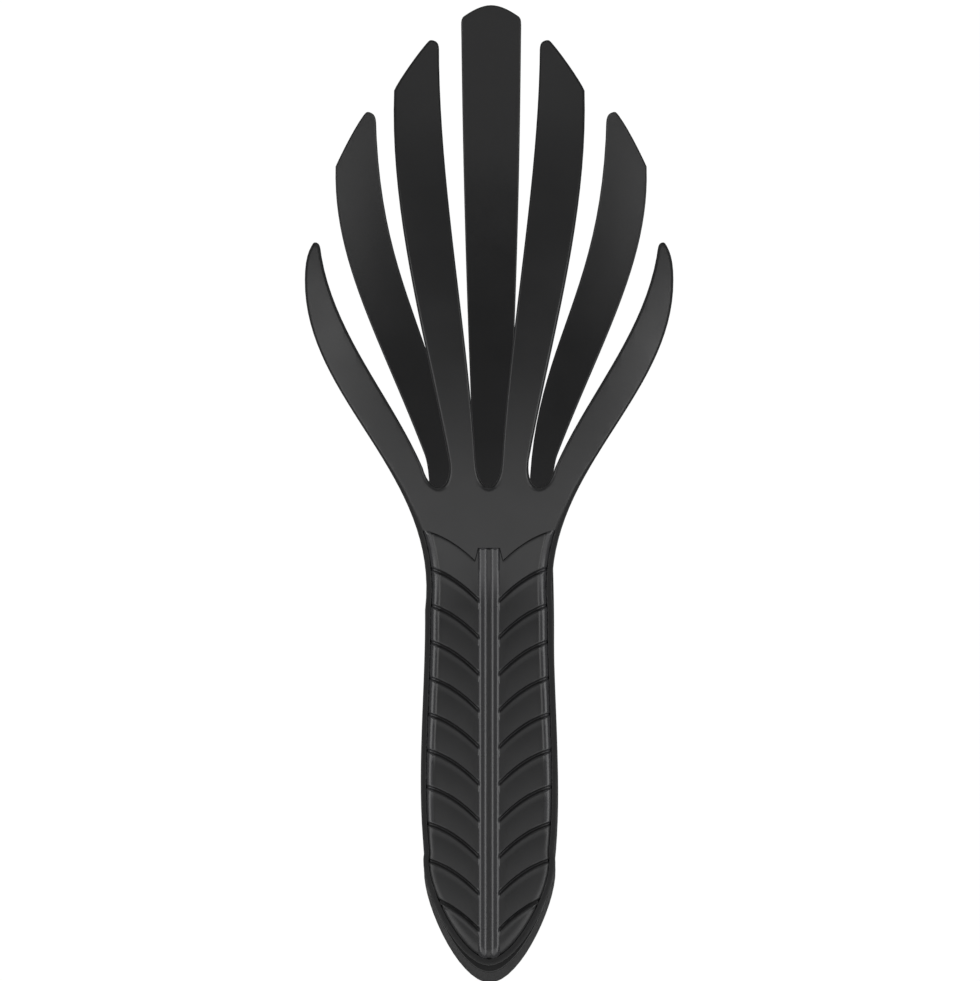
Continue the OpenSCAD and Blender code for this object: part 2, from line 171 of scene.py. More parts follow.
def frontTines():
    f = frontSizes
    slotY, slotSide, pw = s["slotY"], s["slotY"] + s["cornerRadius"], f["palmWidth"] / 2
    rootIn = f["midSlot"] / 2
    rootOut = rootIn + f["innerRoot"]
    rootFar = rootOut + f["sideSlot"]
    tipIn = f["innerGap"] / 2
    tipOut = tipIn + f["innerWidth"]
    farY, farTop = f["farY"], f["farY"] + f["farTip"]
    longEnd = (tipOut, f["innerY"] - f["tipSlant"])
    farEdge = bezier((pw, farY), (pw, farY + 6), (pw - 1, farY + 9), (pw - 2.8, farTop), 6)[1:]
    farInside = bezier((rootFar, slotSide), (rootFar + 9.4, slotSide + 24.3),
                       (pw - 7.6, farTop - 27.7), (pw - 4.5, farTop - 0.6), 20)
    outside = bezier((rootOut, slotSide), (rootOut + 6.7, slotSide + 39),
                     (tipOut + 1.3, longEnd[1] - 40), longEnd, 20)
    inside = bezier((rootIn, slotSide), (rootIn + 2.2, slotSide + 44.2),
                    (tipIn - 0.1, f["innerY"] - 44.7), (tipIn, f["innerY"] - 1), 20)
    tip = slantedTip(longEnd, tipIn, f["innerY"])
    middle = slotFloor(inside, [Vector((-p.x, p.y)) for p in inside[:2]])
    return (farEdge + farInside[:1:-1] + slotFloor(farInside, outside) + outside[2:] + tip + inside[-2:1:-1]
            + middle[:len(middle) // 2 + 1])


def backTines():
    b = backSizes
    slotY, slotSide, nw = s["slotY"], s["slotY"] + s["cornerRadius"], s["neckWidth"] / 2
    rootIn = b["centreRoot"] / 2
    rootOut = rootIn + b["slot"]
    tipOut = b["outerWidth"] / 2
    tipIn = tipOut - b["outerTine"]
    longEnd = (tipOut, b["outerY"] - b["tipSlant"])
    centreX, centreEnd = b["centreWidth"] / 2, b["centreY"] - b["centreDrop"]
    outside = bezier((nw + 0.8, slotY + 22), (nw + 13.8, slotY + 57.5),
                     (tipOut + 0.9, longEnd[1] - 26.8), longEnd, 24)[1:]
    inside = bezier((rootOut, slotSide), (rootOut - 1, slotSide + 55),
                    (tipIn - 1.2, b["outerY"] - 55.3), (tipIn, b["outerY"] - 1), 24)
    centre = bezier((rootIn, slotSide), (rootIn + 2.6, slotSide + 60),
                    (centreX - 0.5, centreEnd - 50), (centreX, centreEnd), 24)
    tip = slantedTip(longEnd, tipIn, b["outerY"])
    shoulder = bezier((centreX, centreEnd - 1.9), (centreX, centreEnd - 0.6),
                      (centreX - 0.2, centreEnd + 0.1), (centreX - 1.1, centreEnd + 0.6), 5)
    top = bezier(shoulder[-1], (centreX - 3.1, centreEnd + 1.9), (3, b["centreY"]), (0, b["centreY"]), 8)[1:]
    centre = [p for p in centre if p.y < centreEnd - 2.2]
    return outside + tip + inside[-2:1:-1] + slotFloor(inside, centre) + centre[2:] + shoulder + top


def faceLine(y):
    # height and slope of the outer surface along the hand
    if y <= hollowY:
        return s["depth"], 0.0
    if y <= hollowY + s["neckRadius"] * math.sin(hollowTurn):
        a = math.asin((y - hollowY) / s["neckRadius"])
        return hollowZ - s["neckRadius"] * math.cos(a), math.tan(a)
    if y <= tipStartY:
        a = math.asin((y - s["palmY"]) / s["palmRadius"])
        return palmZ + s["palmRadius"] * math.cos(a), -math.tan(a)
    return tipStartZ - (y - tipStartY) * math.tan(s["tipTurn"]), -math.tan(s["tipTurn"])


rimFade = bezier((s["neckY"], s["rimGap"] / 2), (s["neckY"] + 20, s["rimGap"] / 2),
                 (wallEnd - 16, 8), (wallEnd, s["palmHeight"] - 2), 40)


def rimLine(y):
    if y < 0:
        return s["rimGap"] / 2 - y * math.tan(s["openAngle"] / 2)
    if y <= s["neckY"]:
        return s["rimGap"] / 2
    for a, b in zip(rimFade, rimFade[1:]):
        if y <= b.x:
            return a.y + (b.y - a.y) * (y - a.x) / max(b.x - a.x, 1e-6)
    return rimFade[-1].y


def formHand(obj):
    # bends the flat prism: depths down to the skin follow the face, deeper ones run down to the rim
    for vertex in obj.data.vertices:
        x, y, z = vertex.co
        face, slope = faceLine(y)
        crown = s["crownRadius"] - math.sqrt(s["crownRadius"] ** 2 - x * x)
        stretch = math.sqrt(1 + slope * slope)
        top = face - crown
        if z >= -s["skin"] - 1e-4:
            vertex.co.z = top + z * stretch
            continue
        under = top - s["skin"] * stretch
        share = (-z - s["skin"]) / (s["depth"] - s["skin"])
        vertex.co.z = under + (min(rimLine(y), under) - under) * share


def deselect():
    if bpy.context.mode != "OBJECT":
        bpy.ops.object.mode_set(mode="OBJECT")
    bpy.ops.object.select_all(action="DESELECT")


def pick(obj):
    deselect()
    obj.select_set(True)
    bpy.context.view_layer.objects.active = obj


def flatFace(name, points):
    deselect()
    bpy.ops.mesh.primitive_circle_add(vertices=len(points), radius=1, fill_type="NGON")
    obj = bpy.context.object
    obj.name = obj.data.name = name
    for vertex, point in zip(obj.data.vertices, points):
        vertex.co = (point.x, point.y, 0)
    return obj


def joinPieces(first, *others):
    deselect()
    for obj in (first, *others):
        obj.select_set(True)
    bpy.context.view_layer.objects.active = first
    bpy.ops.object.join()
    return first


def editSelect(obj, kind, test):
    # in edit mode, selects the edges or faces that pass the test
    bpy.ops.object.mode_set(mode="EDIT")
    bpy.ops.mesh.select_mode(type=kind)
    bpy.ops.mesh.select_all(action="DESELECT")
    mesh = bmesh.from_edit_mesh(obj.data)
    mesh.normal_update()
    for item in (mesh.edges if kind == "EDGE" else mesh.faces):
        item.select_set(test(item))
    mesh.select_flush_mode()
    bmesh.update_edit_mesh(obj.data)


def outwards():
    bpy.ops.mesh.select_all(action="SELECT")
    bpy.ops.mesh.normals_make_consistent(inside=False)


def cutAcross(obj, positions, axis):
    bpy.ops.object.mode_set(mode="EDIT")
    for position in positions:
        bpy.ops.mesh.select_all(action="SELECT")
        at = [0, 0, 0]
        normal = [0, 0, 0]
        at[axis] = position
        normal[axis] = 1
        bpy.ops.mesh.bisect(plane_co=at, plane_no=normal)
    bpy.ops.object.mode_set(mode="OBJECT")


def combine(obj, tool, operation):
    pick(obj)
    boolean = obj.modifiers.new("combine", "BOOLEAN")
    boolean.object = tool
    boolean.operation = operation
    boolean.solver = "EXACT"
    bpy.ops.object.modifier_apply(modifier=boolean.name)
    bpy.data.objects.remove(tool)


def rod(x0, x1, radius, sides=64):
    deselect()
    bpy.ops.mesh.primitive_cylinder_add(vertices=sides, radius=radius, depth=x1 - x0,
                                        location=((x0 + x1) / 2, 0, 0), rotation=(0, math.pi / 2, 0))
    bpy.ops.object.transform_apply(location=True, rotation=True, scale=True)
    return bpy.context.object


def block(x0, x1, y0, y1, z0, z1):
    deselect()
    bpy.ops.mesh.primitive_cube_add(size=1, location=((x0 + x1) / 2, (y0 + y1) / 2, (z0 + z1) / 2))
    obj = bpy.context.object
    obj.scale = (x1 - x0, y1 - y0, z1 - z0)
    bpy.ops.object.transform_apply(location=True, rotation=True, scale=True)
    return obj


def halfWidth(side, y):
    for a, b in zip(side, side[1:]):
        if a.y <= y <= b.y and b.y > a.y:
            return a.x + (b.x - a.x) * (y - a.y) / (b.y - a.y)
    return side[-1].x


def finishPiece(obj, place, material, body, node):
    obj.data.transform(place)
    for vertex in obj.data.vertices:
        vertex.co.z = max(vertex.co.z, 0.0)  # the flats on which the back hand lies
    pick(obj)
    bpy.ops.object.mode_set(mode="EDIT")
    outwards()
    bpy.ops.object.mode_set(mode="OBJECT")
    bpy.ops.object.shade_smooth_by_angle(angle=math.radians(38))
    weigh = obj.modifiers.new("weigh", "WEIGHTED_NORMAL")
    weigh.keep_sharp = True
    bpy.ops.object.modifier_apply(modifier=weigh.name)
    if not obj.data.materials:
        obj.data.materials.append(material)
    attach(obj, body)
    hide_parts(node)


def srgb(hexColour):
    parts = [int(hexColour[i:i + 2], 16) / 255 for i in (1, 3, 5)]
    return tuple(c / 12.92 if c <= 0.04045 else ((c + 0.055) / 1.055) ** 2.4 for c in parts) + (1.0,)


def newMaterial(name):
    material = bpy.data.materials.new(name)
    material.use_nodes = True
    material.node_tree.nodes.clear()
    return material, material.node_tree


def addNode(tree, kind, settings=None, **links):
    # settings are the node's own properties; a link is a socket or a plain value
    made = tree.nodes.new(kind)
    for key, value in (settings or {}).items():
        setattr(made, key, value)
    for key, value in links.items():
        numbered = key[0] == "i" and key[1:].isdigit()
        socket = made.inputs[int(key[1:]) if numbered else key.replace("_", " ")]
        if isinstance(value, bpy.types.NodeSocket):
            tree.links.new(value, socket)
        else:
            socket.default_value = value
    return made


def plasticMaterial(name, values):
    material, tree = newMaterial(name)
    where = addNode(tree, "ShaderNodeTexCoord").outputs["Object"]
    grain = addNode(tree, "ShaderNodeTexNoise", Vector=where, Scale=1 / (values["grain"] * mm),
                    Detail=3.0, Roughness=0.6)
    patches = addNode(tree, "ShaderNodeTexNoise", Vector=where, Scale=1 / (values["patches"] * mm), Detail=2.0)
    shine = addNode(tree, "ShaderNodeMapRange", Value=patches.outputs["Fac"], i1=0.3, i2=0.7,
                    i3=values["roughness"] - values["spread"], i4=values["roughness"] + values["spread"])
    bump = addNode(tree, "ShaderNodeBump", Height=grain.outputs["Fac"], Strength=values["bump"],
                   Distance=values["bumpDepth"] * mm)
    surface = addNode(tree, "ShaderNodeBsdfPrincipled", Base_Color=srgb(values["colour"]),
                      Roughness=shine.outputs["Result"], IOR=values["ior"], Normal=bump.outputs["Normal"])
    addNode(tree, "ShaderNodeOutputMaterial", Surface=surface.outputs["BSDF"])
    return material


def steelMaterial(name, values):
    material, tree = newMaterial(name)
    where = addNode(tree, "ShaderNodeTexCoord").outputs["Object"]
    turned = addNode(tree, "ShaderNodeMapping", Vector=where, Scale=(values["lines"] / mm, 1.0 / mm, 1.0 / mm))
    marks = addNode(tree, "ShaderNodeTexNoise", Vector=turned.outputs["Vector"], Scale=1.0, Detail=2.0)
    shine = addNode(tree, "ShaderNodeMapRange", Value=marks.outputs["Fac"], i1=0.3, i2=0.7,
                    i3=values["roughness"] - 0.08, i4=values["roughness"] + 0.08)
    bump = addNode(tree, "ShaderNodeBump", Height=marks.outputs["Fac"], Strength=0.15, Distance=0.01 * mm)
    surface = addNode(tree, "ShaderNodeBsdfPrincipled", Base_Color=srgb(values["colour"]), Metallic=1.0,
                      Roughness=shine.outputs["Result"], Normal=bump.outputs["Normal"])
    addNode(tree, "ShaderNodeOutputMaterial", Surface=surface.outputs["BSDF"])
    return material


finishes = {
    "nylon": {"colour": "#121213", "roughness": 0.40, "spread": 0.03, "ior": 1.52, "grain": 0.35, "patches": 14,
              "bump": 0.25, "bumpDepth": 0.02},
    "grip": {"colour": "#151516", "roughness": 0.40, "spread": 0.03, "ior": 1.52, "grain": 0.3, "patches": 10,
             "bump": 0.3, "bumpDepth": 0.025},
    # the ribs' lighter colour is a painted highlight on the rounded ribs and side bands; their lower roughness is a
    # real glossier finish
    "ribs": {"colour": "#29292b", "roughness": 0.27, "spread": 0.02, "ior": 1.52, "grain": 0.5, "patches": 12,
             "bump": 0.12, "bumpDepth": 0.01},
    "caps": {"colour": "#121213", "roughness": 0.36, "spread": 0.02, "ior": 1.52, "grain": 0.4, "patches": 6,
             "bump": 0.2, "bumpDepth": 0.01},
    "acetal": {"colour": "#1a1a1b", "roughness": 0.3, "spread": 0.02, "ior": 1.48, "grain": 0.5, "patches": 6,
               "bump": 0.15, "bumpDepth": 0.01},
    "steel": {"colour": "#b9babd", "roughness": 0.28, "lines": 9.0},
    "springWire": {"colour": "#8d8f93", "roughness": 0.34, "lines": 3.0},
}
nylon = plasticMaterial("satin black moulded nylon", finishes["nylon"])
gripNylon = plasticMaterial("satin black grip nylon", finishes["grip"])
# the rib material: glossier, and lighter as a painted highlight
glossyRibNylonWithPaintedHighlight = plasticMaterial("glossy black rib nylon lightened as painted highlight", finishes["ribs"])
capNylon = plasticMaterial("black cap nylon", finishes["caps"])
acetal = plasticMaterial("black acetal sleeve", finishes["acetal"])
steel = steelMaterial("turned stainless pin", finishes["steel"])
springWire = steelMaterial("drawn spring wire", finishes["springWire"])

edgeSizes = {
    "shoulder": 3.4, "tine": 0.9, "frontToe": 4.8, "backToe": 1.2, "under": 0.5, "rim": 0.45, "cutEvery": 4.0,
    "tineFrom": 125, "shoulderTo": 95, "toeFrom": -4, "toeReach": 16,
}


def topRadius(y, toe):
    # the radius of the top edge: the shoulder's on the handle, the toe's at its end, a small one on the tines
    e = edgeSizes
    if y > e["tineFrom"]:
        return e["tine"]
    if y > e["shoulderTo"]:
        return e["shoulder"] + (e["tine"] - e["shoulder"]) * (y - e["shoulderTo"]) / (e["tineFrom"] - e["shoulderTo"])
    return e["shoulder"] + (toe - e["shoulder"]) * max(0.0, min(1.0, (e["toeFrom"] - y) / e["toeReach"]))


def weighEdges(obj, toe):
    # a bevel weight for every sharp edge of the flat prism
    largest = max(edgeSizes["shoulder"], toe)
    mesh = bmesh.new()
    mesh.from_mesh(obj.data)
    mesh.normal_update()
    weights = []
    for edge in mesh.edges:
        heights = [v.co.z for v in edge.verts]
        middle = (edge.verts[0].co.y + edge.verts[1].co.y) / 2
        weight = 0.0
        if len(edge.link_faces) == 2 and abs(heights[0] - heights[1]) < 1e-4:
            faceZ = sorted(face.normal.z for face in edge.link_faces)
            if edge.calc_face_angle_signed(0) > 0.5:
                if heights[0] > -0.01 and faceZ[1] > 0.9:
                    weight = topRadius(middle, toe) / largest
                elif heights[0] < -s["depth"] + 0.01:
                    weight = edgeSizes["rim"] / largest
                elif faceZ[0] < -0.9:
                    weight = edgeSizes["under"] / largest
        weights.append(weight)
    mesh.free()
    layer = obj.data.attributes.new("bevel_weight_edge", "FLOAT", "EDGE")
    layer.data.foreach_set("value", weights)
    return largest


def isSeam(edge):
    # a level edge between two faces in one plane, which a bevel would trip over
    return edge.calc_face_angle(1) < 0.05 and abs(edge.verts[0].co.z - edge.verts[1].co.z) < 0.01


def buildHand(name, half, flank, length, toe):
    # one flat outline pushed into a skin with side walls, then bent to the hand's curves
    side = handleSide(length) + flank
    low = [p for p in side if p.y < wallEnd - 0.5]
    outerEnd = Vector((halfWidth(side, wallEnd), wallEnd))
    low.append(outerEnd)
    inner = insetPath(low, s["wall"])
    inner[-1] = Vector((outerEnd.x - s["wall"], wallEnd))
    outline = roundCorners(half, s["cornerRadius"])
    high = [p for p in outline[len(low) - 2:] if not (p.y < wallEnd + 0.5 and p.x > outerEnd.x - s["wall"])]
    rounded = bothSides([outerEnd] + high)
    palm = flatFace(name, rounded + otherSide(reversed(inner)) + inner)
    inwards = [p for p in reversed(inner) if abs(p.x) > 1e-6]
    loop = low[1:] + inwards + [inner[0]] + otherSide(inner) + otherSide(reversed(low)) + [low[0]]
    ring = flatFace(name + "Walls", loop)
    hand = joinPieces(palm, ring)
    pick(hand)
    bpy.ops.object.mode_set(mode="EDIT")
    bpy.ops.mesh.select_all(action="SELECT")
    bpy.ops.mesh.remove_doubles(threshold=0.001)
    bpy.ops.mesh.select_all(action="SELECT")
    bpy.ops.mesh.extrude_region_move(TRANSFORM_OT_translate={"value": (0, 0, -s["skin"])})
    outwards()
    bpy.ops.object.mode_set(mode="OBJECT")
    area = {}
    for face in hand.data.polygons:
        if face.normal.z < -0.9 and face.center.z < -s["skin"] + 0.01:
            area[face.index] = face.area
    wallFace = min(area, key=area.get)
    editSelect(hand, "FACE", lambda face: face.index == wallFace)
    bpy.ops.mesh.extrude_region_move(TRANSFORM_OT_translate={"value": (0, 0, s["skin"] - s["depth"])})
    outwards()
    bpy.ops.object.mode_set(mode="OBJECT")
    editSelect(hand, "EDGE", isSeam)
    bpy.ops.mesh.dissolve_edges(use_verts=False)
    bpy.ops.object.mode_set(mode="OBJECT")
    bevel = hand.modifiers.new("round", "BEVEL")
    bevel.width = weighEdges(hand, toe)
    bevel.segments = 5
    bevel.limit_method = "WEIGHT"
    bevel.use_clamp_overlap = False
    bpy.ops.object.modifier_apply(modifier=bevel.name)
    step = edgeSizes["cutEvery"]
    top = max(v.co.y for v in hand.data.vertices)
    wide = max(v.co.x for v in hand.data.vertices)
    cutAcross(hand, [-length + step * i for i in range(1, int((top + length) / step))], 1)
    cutAcross(hand, [step * i for i in range(-int(wide / step), int(wide / step) + 1)], 0)
    formHand(hand)
    bpy.ops.object.mode_set(mode="EDIT")
    bpy.ops.mesh.select_all(action="SELECT")
    bpy.ops.mesh.remove_doubles(threshold=0.005)
    bpy.ops.mesh.dissolve_degenerate(threshold=0.003)
    bpy.ops.mesh.delete_loose()
    outwards()
    bpy.ops.object.mode_set(mode="OBJECT")
    return hand


def shapeBlock(x0, x1, y0, y1, z0):
    # a rib or ear block that ends inside the skin of the handle
    return block(x0, x1, y0, y1, z0, s["depth"] - s["skin"] + 0.6)


def earRod(x0, side, radius):
    # an ear whose outer end follows the handle's side
    sign = 1 if x0 > 0 else -1
    ear = rod(*sorted((x0, sign * 24)), radius)
    editSelect(ear, "FACE", lambda face: sign * face.normal.x > 0.9)
    bpy.ops.mesh.inset(thickness=0.5)
    bpy.ops.mesh.inset(thickness=2.0)
    bpy.ops.object.mode_set(mode="OBJECT")
    for vertex in ear.data.vertices:
        if sign * vertex.co.x > 22:
            reach = math.hypot(vertex.co.y, vertex.co.z)
            vertex.co.x = sign * (halfWidth(side, vertex.co.y) + (0.04 if reach < radius - 0.2 else -0.25))
    return ear


def joinAll(pieces):
    return joinPieces(pieces[0], *pieces[1:]) if len(pieces) > 1 else pieces[0]


gripSizes = {
    "thick": 2.0, "proud": 0.5, "border": 1.6, "toe": 0.3, "top": 104.0, "pitch": 11.0, "veins": 10, "fit": 0.03,
    "veinStart": 0.23, "veinBend": 0.0244, "veinWidth": 1.1, "veinDepth": 0.6, "lip": 0.16, "tabTop": 98.7,
    "rib": 3.3, "ribGroove": 0.5, "band": 2.3, "bandRadius": 4.2, "bandFrom": 8.0, "bandFull": 42.0,
    "bandStep": 0.6, "pillow": 0.2, "panel": -0.65, "rim": 0.7, "tabY": 94.5, "edgeRoom": 3.0, "between": 12,
}
g = gripSizes
veinReach = s["neckWidth"] / 2


def chevron(x):
    # how far a leaf vein has dropped at this distance from the middle
    away = max(0.0, veinReach - abs(x))
    return -away * (g["veinStart"] + g["veinBend"] * away)


def tabSide(edge):
    return g["rib"] + (halfWidth(edge, g["tabY"]) - g["rib"] - g["edgeRoom"]) / (g["between"] + 1)


def gripOutline(side, grow):
    edge = insetPath(side, g["border"] - grow, g["toe"])
    top = g["top"] + grow
    low = [p for p in edge if p.y < top - 0.6]
    corner = Vector((halfWidth(edge, top), top))
    low.append(corner)
    across = [Vector((corner.x * (1 - i / 16), 0)) for i in range(1, 12)] + [Vector((tabSide(edge) + grow, 0))]
    for point in across:
        point.y = top + chevron(point.x)
    tab = [Vector((g["rib"] + grow, g["tabTop"] + grow)), Vector((0, g["tabTop"] + grow))]
    return edge, bothSides(low + across + tab)


def rollOff(x, y, side, toe):
    # how far the rounded shoulder of the handle lies below its face
    radius = topRadius(y, toe)
    inside = max(0.0, radius - edgeDistance(abs(x), y, side))
    return radius - math.sqrt(max(0.0, radius * radius - inside * inside))


def cutPocket(hand, side, toe):
    tool = flatFace("pocket", gripOutline(side, g["fit"])[1])
    pick(tool)
    bpy.ops.object.mode_set(mode="EDIT")
    bpy.ops.mesh.select_all(action="SELECT")
    bpy.ops.mesh.extrude_region_move(TRANSFORM_OT_translate={"value": (0, 0, 4.0)})
    outwards()
    bpy.ops.object.mode_set(mode="OBJECT")
    cutAcross(tool, [-16 + 4 * i for i in range(30)], 1)
    cutAcross(tool, [-20 + 2.5 * i for i in range(17)], 0)
    depth = g["thick"] - g["proud"] + g["fit"]
    for vertex in tool.data.vertices:
        face, slope = faceLine(vertex.co.y)
        crown = s["crownRadius"] - math.sqrt(s["crownRadius"] ** 2 - vertex.co.x ** 2)
        low = -depth * math.sqrt(1 + slope * slope) - rollOff(vertex.co.x, vertex.co.y, side, toe)
        vertex.co.z = face - crown + (3.0 if vertex.co.z > 1 else low)
    combine(hand, tool, "DIFFERENCE")


innerSizes = {
    "ribY": (46.0, 60.0, 74.0), "ribThickness": 1.5, "ribBelow": 5, "past": 40, "seatFit": 0.05,
    "saddleY": (32, 37), "saddleThickness": 1.2, "saddleAway": 1.7, "saddleZ": 11.1, "lugHalf": 6.4, "lugZ": 0.1,
}


def bothRods(x0, x1, radius):
    return joinAll([rod(x0, x1, radius), rod(-x1, -x0, radius)])


def finishHand(hand, side, isFront):
    # the hinge lugs, the ribs inside, the saddle of the spring leg, the bores and the pocket of the grip
    h, n = hingeSizes, innerSizes
    innerX = h["earX"] - h["washer"] - h["gap"] - h["earThickness"]
    legX = springSizes["legX"] * (1 if isFront else -1)
    if isFront:
        combine(hand, bothRods(h["earX"] - h["gap"], n["past"], h["earRadius"] + h["gap"]), "DIFFERENCE")
    else:
        ears = [earRod(sign * h["earX"], side, h["earRadius"]) for sign in (1, -1)]
        combine(hand, joinAll(ears), "UNION")
    ribs = []
    for y in n["ribY"]:
        half = halfWidth(side, y) - s["wall"] / 2
        ribs.append(shapeBlock(-half, half, y, y + n["ribThickness"], s["depth"] - s["skin"] - n["ribBelow"]))
    for sign in (-1, 1):
        middle = legX + sign * n["saddleAway"]
        ribs.append(shapeBlock(middle - n["saddleThickness"] / 2, middle + n["saddleThickness"] / 2,
                               *n["saddleY"], n["saddleZ"]))
    combine(hand, joinAll(ribs), "UNION")
    if isFront:
        ends = (innerX, innerX + h["earThickness"])
        across = (-n["lugHalf"], n["lugHalf"], n["lugZ"])
        combine(hand, joinAll([shapeBlock(*ends, *across), shapeBlock(-ends[1], -ends[0], *across)]), "UNION")
        combine(hand, bothRods(*ends, h["earRadius"]), "UNION")
    combine(hand, rod(-n["past"], n["past"], h["pinRadius"] + h["runFit"]), "DIFFERENCE")
    if not isFront:
        combine(hand, bothRods(h["capX"], n["past"], h["capRadius"] + n["seatFit"]), "DIFFERENCE")
    cutPocket(hand, side, edgeSizes["frontToe" if isFront else "backToe"])


def buildGrip(name, side, toe):
    edge = gripOutline(side, 0)[0]
    middle = [0, 0.25, 0.5, 0.8, 1.15, 1.5, 1.9, 2.3, 2.65, 3.0, g["rib"]]
    sides = [3.0, 2.6, 2.2, 1.8, 1.4, 1.0, 0.7, 0.45, 0.25, 0.1, 0.0]
    between = g["between"]
    around = [-1.0, -0.75, -0.52, -0.34, -0.17, 0.0, 0.17, 0.34, 0.52, 0.75, 1.0]
    rows = [g["top"], g["top"] - 0.15, g["top"] - 0.35, g["top"] - 0.7]
    for i in range(g["veins"]):
        vein = g["top"] - g["pitch"] * i
        rows += [vein - 1.2 - 0.95 * k for k in range(10)]
        rows += [vein - g["pitch"] - a for a in around[::-1]]
    rows = sorted(set(round(r, 3) for r in rows), reverse=True)
    toeRows = 16

    def spread(width):
        room = width - g["rib"] - g["edgeRoom"]
        inner = middle + [g["rib"] + room * (k + 1) / (between + 1) for k in range(between)]
        return inner + [width - a for a in sides]

    columns = len(spread(20))
    half = []
    for row in rows:
        line = []
        for k in range(columns):
            y = row
            for _ in range(5):
                x = spread(halfWidth(edge, y))[k]
                y = row + chevron(x)
            if row > g["top"] - 1 and k < len(middle):
                y = max(y, g["tabTop"] - (g["top"] - row))
            line.append((x, y))
        half.append(line)
    last = half[-1]
    rim = [p for p in edge if p.x <= last[-1][0] + 0.5 and p.y < 0]

    def lowest(x):
        for a, b in zip(rim, rim[1:]):
            if a.x <= x <= b.x and b.x > a.x:
                return a.y + (b.y - a.y) * (x - a.x) / (b.x - a.x)
        return last[-1][1]

    for j in range(1, toeRows + 1):
        share = j / toeRows
        share = share + 0.35 * share * (1 - share)
        half.append([(x, y + (min(lowest(x), y) - y) * share) for x, y in last])
    full = [[(-x, y) for x, y in reversed(line[1:])] + line for line in half]
    across, along = len(full[0]), len(full)
    deselect()
    bpy.ops.mesh.primitive_grid_add(x_subdivisions=across - 1, y_subdivisions=along - 1, size=2)
    grip = bpy.context.object
    grip.name = grip.data.name = name
    for vertex in grip.data.vertices:
        i = round((vertex.co.x + 1) / 2 * (across - 1))
        j = round((1 - vertex.co.y) / 2 * (along - 1))
        vertex.co = (full[j][i][0], full[j][i][1], 0)
    pick(grip)
    bpy.ops.object.mode_set(mode="EDIT")
    bpy.ops.mesh.select_all(action="SELECT")
    bpy.ops.mesh.extrude_region_move(TRANSFORM_OT_translate={"value": (0, 0, -1)})
    bpy.ops.object.mode_set(mode="OBJECT")
    boundary = [Vector((p.x, p.y)) for p in gripOutline(side, 0)[1] if p.x >= -0.01]
    for vertex in grip.data.vertices:
        x, y, z = vertex.co
        face, slope = faceLine(y)
        stretch = math.sqrt(1 + slope * slope)
        crown = s["crownRadius"] - math.sqrt(s["crownRadius"] ** 2 - x * x)
        depth = g["proud"] - g["thick"]
        if z > -0.5:
            depth = g["proud"] + relief(abs(x), y, boundary, halfWidth(edge, y))
        vertex.co.z = face - crown + depth * stretch - rollOff(x, y, side, toe)
    bpy.ops.object.mode_set(mode="EDIT")
    bpy.ops.mesh.select_all(action="SELECT")
    bpy.ops.mesh.remove_doubles(threshold=0.004)
    bpy.ops.mesh.dissolve_degenerate(threshold=0.002)
    bpy.ops.object.mode_set(mode="OBJECT")
    glossAndPaintHighlightOnRibs(grip, edge)
    return grip


def edgeDistance(x, y, boundary):
    best = 1e9
    for a, b in zip(boundary, boundary[1:]):
        dx, dy = b.x - a.x, b.y - a.y
        along = max(0.0, min(1.0, ((x - a.x) * dx + (y - a.y) * dy) / (dx * dx + dy * dy + 1e-12)))
        best = min(best, (x - a.x - along * dx) ** 2 + (y - a.y - along * dy) ** 2)
    return math.sqrt(best)


def glossAndPaintHighlightOnRibs(grip, edge):
    # the two ribs and the side bands get a glossier finish and a lighter colour that is a painted highlight on their
    # rounded forms, the panels between are matt
    grip.data.materials.append(gripNylon)
    grip.data.materials.append(glossyRibNylonWithPaintedHighlight)
    for face in grip.data.polygons:
        x, y, z = face.center
        onBand = halfWidth(edge, y) - abs(x) < g["band"] and y > g["bandFrom"] + 8
        onRib = abs(abs(x) - (g["rib"] + g["ribGroove"]) / 2) < (g["rib"] - g["ribGroove"]) / 2 - 0.1
        face.material_index = 1 if abs(face.normal.z) > 0.4 and (onBand or onRib) else 0


def relief(x, y, boundary, width):
    # the leaf pattern, measured down from the proud face: two ribs, side bands, pillows and vein grooves
    rim = edgeDistance(x, y, boundary)
    fromSide = width - x
    vein = (g["top"] - (y - chevron(x))) / g["pitch"]
    nearest = max(1, min(g["veins"], round(vein)))
    slope = g["veinStart"] + 2 * g["veinBend"] * max(0.0, veinReach - x)
    above = (nearest - vein) * g["pitch"] / math.sqrt(1 + slope * slope)
    between = vein - math.floor(vein)
    height = g["panel"]
    if 0 < vein:
        swell = (1 - (2 * between - 1) ** 2) if vein < g["veins"] else 1.0
        height += g["pillow"] * swell * min(1.0, max(0.0, (x - g["rib"]) / 1.6))
    ribMiddle = (g["rib"] + g["ribGroove"]) / 2
    ribReach = (g["rib"] - g["ribGroove"]) / 2
    height = max(height, g["panel"] * min(1.0, ((x - ribMiddle) / ribReach) ** 2))
    strength = min(1.0, max(0.0, (y - g["bandFrom"]) / (g["bandFull"] - g["bandFrom"])))
    level = g["panel"] * (1 - strength * min(1.0, max(0.0, (g["band"] + g["bandStep"] - fromSide) / g["bandStep"])))
    height = max(height, level)
    if x > g["rib"] - 0.4:
        ending = min(1.0, (x - g["rib"] + 0.4) / 0.8)
        depth = g["veinWidth"] / 2
        if abs(above) < depth:
            height -= g["veinDepth"] * ending * (1 - (above / depth) ** 2)
        elif -2.6 * depth < above < 0:
            height += g["lip"] * ending * (1 - ((above + 1.8 * depth) / (0.8 * depth)) ** 2)
    if 0 < fromSide < g["band"]:
        height -= strength * (g["band"] - fromSide) ** 2 / (2 * g["bandRadius"])
    if rim < g["rim"]:
        height -= (g["rim"] - rim) ** 2 / (2 * g["rim"])
    return height


springSizes = {
    "wire": 1.6, "radius": 5.4, "turns": 4, "pitch": 1.8, "legX": 3.96, "legY": 38.0, "legZ": 12.9,
    "aroundTurn": 40, "aroundWire": 16,
}


